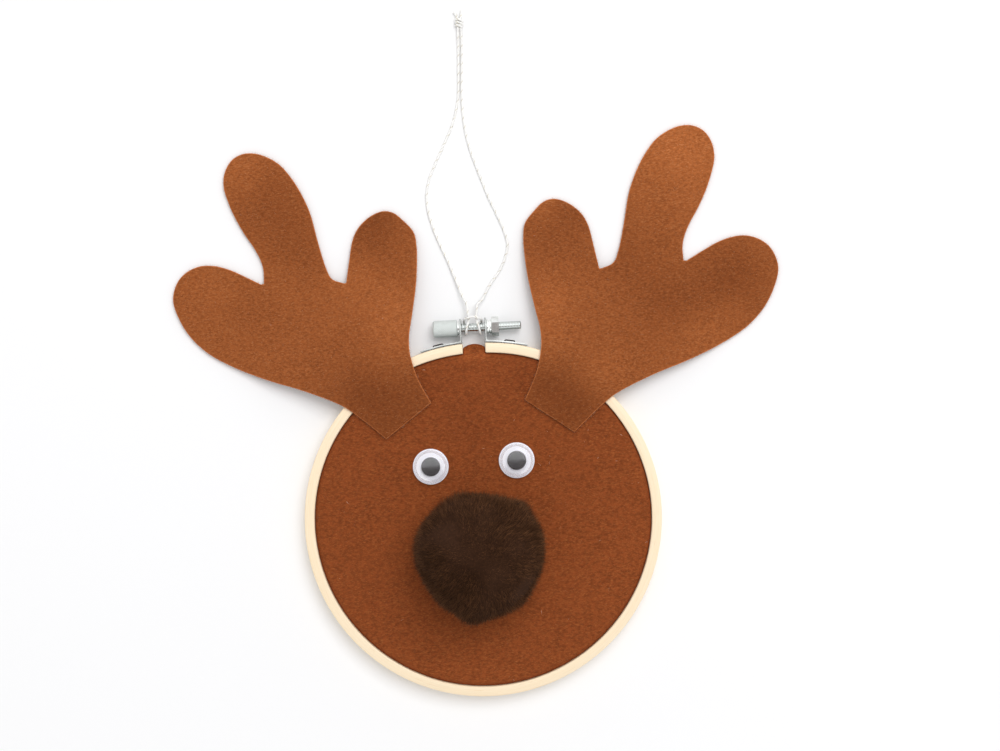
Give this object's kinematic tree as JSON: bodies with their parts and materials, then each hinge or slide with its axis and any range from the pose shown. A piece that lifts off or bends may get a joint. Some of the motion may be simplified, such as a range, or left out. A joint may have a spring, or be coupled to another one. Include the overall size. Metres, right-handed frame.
{
  "type": "embroidery hoop ornament",
  "caption": "Round wooden embroidery hoop with a felt animal face, antlers, loose-pupil eyes, pompom nose, clamp screw and twine loop.",
  "frame": {"origin": "middle of the footprint of the ornament lying on its back, the hanging cord left out, on the surface that it lies on", "axes": "+Z out of the face, +Y towards the antlers and the clamp screw, +X to the right of the face as it is looked at"},
  "size_m": [0.2818, 0.3152, 0.0596],
  "materials": {
    "bamboo": "sanded, clear sealed",
    "dark_felt": "fuzzy craft felt",
    "light_felt": "fuzzy craft felt",
    "zinc_steel": "zinc plated, satin",
    "dark_steel": "blackened wire",
    "white_plastic": "smooth",
    "black_plastic": "glossy",
    "clear_plastic": "clear, glossy",
    "wool_yarn": "fluffy trimmed yarn",
    "dried_glue": "satin, translucent",
    "pale_twine": "twisted twine with a metallic fleck"
  },
  "bodies": {
    "frame": {"outer_hoop": "bamboo", "left_bracket": "zinc_steel", "left_staple": "dark_steel"},
    "screw": {"clamp_screw": "zinc_steel"},
    "clamp_end": {"right_bracket": "zinc_steel", "right_staple": "dark_steel", "nut_collar": "zinc_steel", "clamp_nut": "zinc_steel"},
    "insert": {"inner_hoop": "bamboo", "face_felt": "dark_felt", "left_antler_glue": "dried_glue", "left_antler": "light_felt", "right_antler_glue": "dried_glue", "right_antler": "light_felt", "left_eye_glue": "dried_glue", "left_eye_backing": "white_plastic", "left_eye_dome": "clear_plastic", "right_eye_glue": "dried_glue", "right_eye_backing": "white_plastic", "right_eye_dome": "clear_plastic", "nose_glue": "dried_glue", "nose_pompom": "wool_yarn"},
    "left_pupil": {"left_eye_pupil": "black_plastic"},
    "right_pupil": {"right_eye_pupil": "black_plastic"},
    "hanger": {"cord_left_strand": "pale_twine", "cord_hitch": "pale_twine", "cord_right_strand": "pale_twine", "cord_knot": "pale_twine"}
  },
  "joints": [
    {"name": "screw_turn", "type": "hinge", "parent": "frame", "child": "screw", "pos_m": [-0.0023, 0.04074, 0.00475], "axis": [-1, 0, 0], "range_deg": [0, 1440]},
    {"name": "clamp_open", "type": "slide", "parent": "frame", "child": "clamp_end", "axis": [1, 0, 0], "range_m": [0, 0.0028], "deforming": ["outer_hoop"]},
    {"name": "insert_lift", "type": "slide", "parent": "frame", "child": "insert", "axis": [0, 0, 1], "range_m": [0, 0.012]},
    {"name": "left_pupil_slide", "type": "slide", "parent": "insert", "child": "left_pupil", "axis": [0, 1, 0], "range_m": [-0.0024, 0.0024]},
    {"name": "right_pupil_slide", "type": "slide", "parent": "insert", "child": "right_pupil", "axis": [0, 1, 0], "range_m": [-0.0024, 0.0024]},
    {"name": "hanger_swing", "type": "hinge", "parent": "frame", "child": "hanger", "pos_m": [-0.0023, 0.04074, 0.00475], "axis": [1, 0, 0], "range_deg": [0, 90]}
  ]
}
